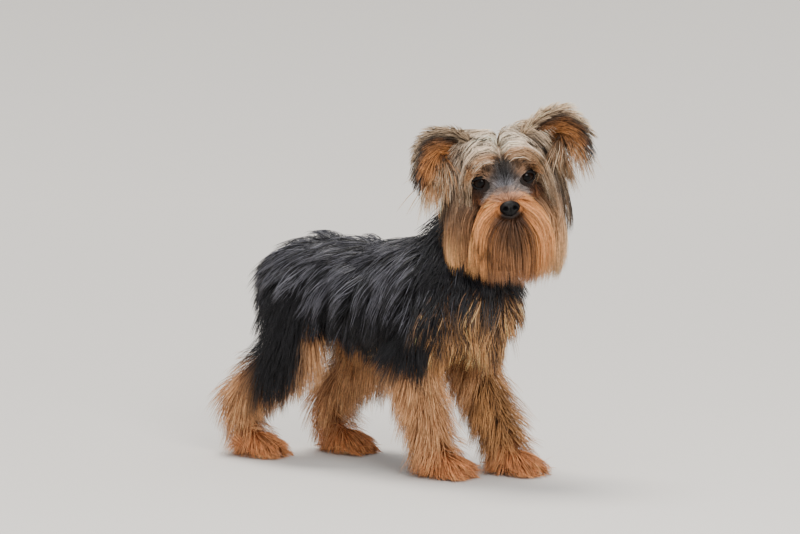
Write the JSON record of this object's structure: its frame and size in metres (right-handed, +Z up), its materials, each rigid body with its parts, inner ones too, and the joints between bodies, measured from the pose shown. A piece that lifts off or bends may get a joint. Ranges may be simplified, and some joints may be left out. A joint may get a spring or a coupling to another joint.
{
  "type": "yorkshire terrier",
  "caption": "Small long-haired terrier standing on four feet with its head turned to its right, as a still life-size model.",
  "frame": {"origin": "on the floor, under the middle of the bounding box", "axes": "+Z up, -Y the way the body faces, +X the animal's left"},
  "size_m": [0.1452, 0.3734, 0.3246],
  "materials": {
    "dark_coat": "long silky black hair",
    "tan_coat": "long wavy tan hair",
    "head_hair": "fine straight hair, tan, gold and silver-grey",
    "nose_skin": "moist black skin",
    "eye_gloss": "wet, dark brown"
  },
  "bodies": {
    "root": {"torso": "dark_coat", "neck": "dark_coat", "tail": "dark_coat", "head": "head_hair", "nose": "nose_skin", "eye_left": "eye_gloss", "eye_right": "eye_gloss", "ear_left": "head_hair", "ear_right": "head_hair", "foreleg_left": "tan_coat", "foreleg_right": "tan_coat", "hindleg_left": "tan_coat", "hindleg_right": "tan_coat", "forefoot_left": "tan_coat", "forefoot_right": "tan_coat", "hindfoot_left": "tan_coat", "hindfoot_right": "tan_coat"}
  },
  "joints": []
}
